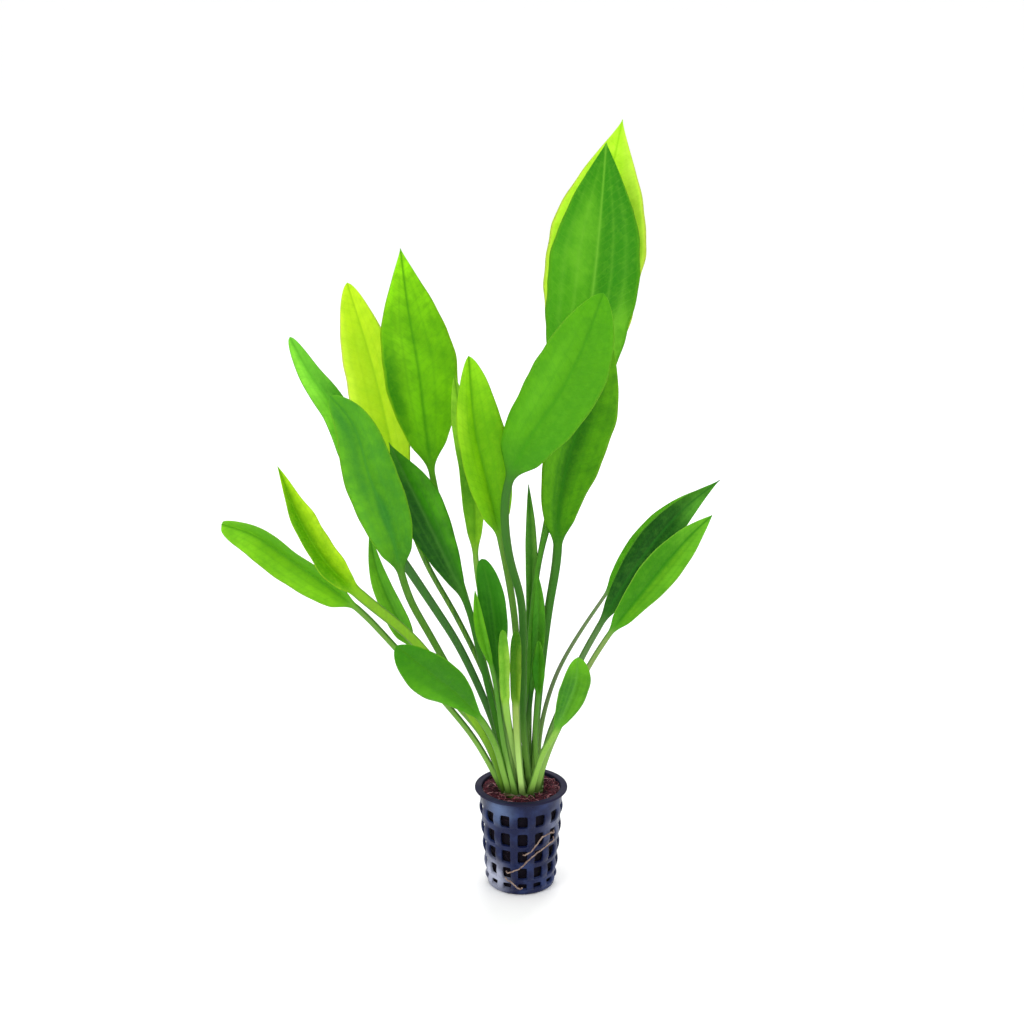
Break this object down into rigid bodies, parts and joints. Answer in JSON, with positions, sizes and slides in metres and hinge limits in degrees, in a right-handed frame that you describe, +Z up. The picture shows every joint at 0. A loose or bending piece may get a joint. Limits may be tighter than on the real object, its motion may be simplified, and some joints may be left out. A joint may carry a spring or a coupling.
{
  "type": "potted aquarium plant",
  "caption": "Tall rosette of lance-shaped green leaves on slim stalks, growing from a small dark lattice-walled net pot filled with planting fibre.",
  "frame": {"origin": "middle of the pot's underside, in the plane that it stands on", "axes": "+Z up the pot's axis, -Y the front that faces the viewer, +X to the viewer's right"},
  "size_m": [0.275, 0.1554, 0.4291],
  "materials": {
    "pot": "satin",
    "soil": "matte",
    "crown": "matte",
    "leaf_tall_back": "satin",
    "leaf_tall_front": "satin",
    "leaf_right_shade": "satin",
    "leaf_front_slant": "satin",
    "leaf_centre_bright": "satin",
    "leaf_centre_behind": "satin",
    "leaf_left_tall": "satin",
    "leaf_left_back": "satin",
    "leaf_left_inner": "satin",
    "leaf_left_twisted": "satin",
    "leaf_left_strap": "satin",
    "leaf_far_left": "satin",
    "leaf_far_left_folded": "satin",
    "leaf_front_spoon": "satin",
    "leaf_left_low": "satin",
    "leaf_young_oval": "satin",
    "leaf_young_narrow": "satin",
    "leaf_new_left": "satin",
    "leaf_new_right": "satin",
    "leaf_slim_upright": "satin",
    "leaf_short_upright": "satin",
    "leaf_short_front": "satin",
    "leaf_right_upper": "satin",
    "leaf_right_behind": "satin",
    "leaf_right_lower": "satin",
    "leaf_right_spoon": "satin",
    "root_long": "matte",
    "root_loop": "matte",
    "root_short": "matte"
  },
  "bodies": {
    "root": {"pot": "pot", "soil": "soil", "crown": "crown", "leaf_tall_back": "leaf_tall_back", "leaf_tall_front": "leaf_tall_front", "leaf_right_shade": "leaf_right_shade", "leaf_front_slant": "leaf_front_slant", "leaf_centre_bright": "leaf_centre_bright", "leaf_centre_behind": "leaf_centre_behind", "leaf_left_tall": "leaf_left_tall", "leaf_left_back": "leaf_left_back", "leaf_left_inner": "leaf_left_inner", "leaf_left_twisted": "leaf_left_twisted", "leaf_left_strap": "leaf_left_strap", "leaf_far_left": "leaf_far_left", "leaf_far_left_folded": "leaf_far_left_folded", "leaf_front_spoon": "leaf_front_spoon", "leaf_left_low": "leaf_left_low", "leaf_young_oval": "leaf_young_oval", "leaf_young_narrow": "leaf_young_narrow", "leaf_new_left": "leaf_new_left", "leaf_new_right": "leaf_new_right", "leaf_slim_upright": "leaf_slim_upright", "leaf_short_upright": "leaf_short_upright", "leaf_short_front": "leaf_short_front", "leaf_right_upper": "leaf_right_upper", "leaf_right_behind": "leaf_right_behind", "leaf_right_lower": "leaf_right_lower", "leaf_right_spoon": "leaf_right_spoon", "root_long": "root_long", "root_loop": "root_loop", "root_short": "root_short"}
  },
  "joints": []
}
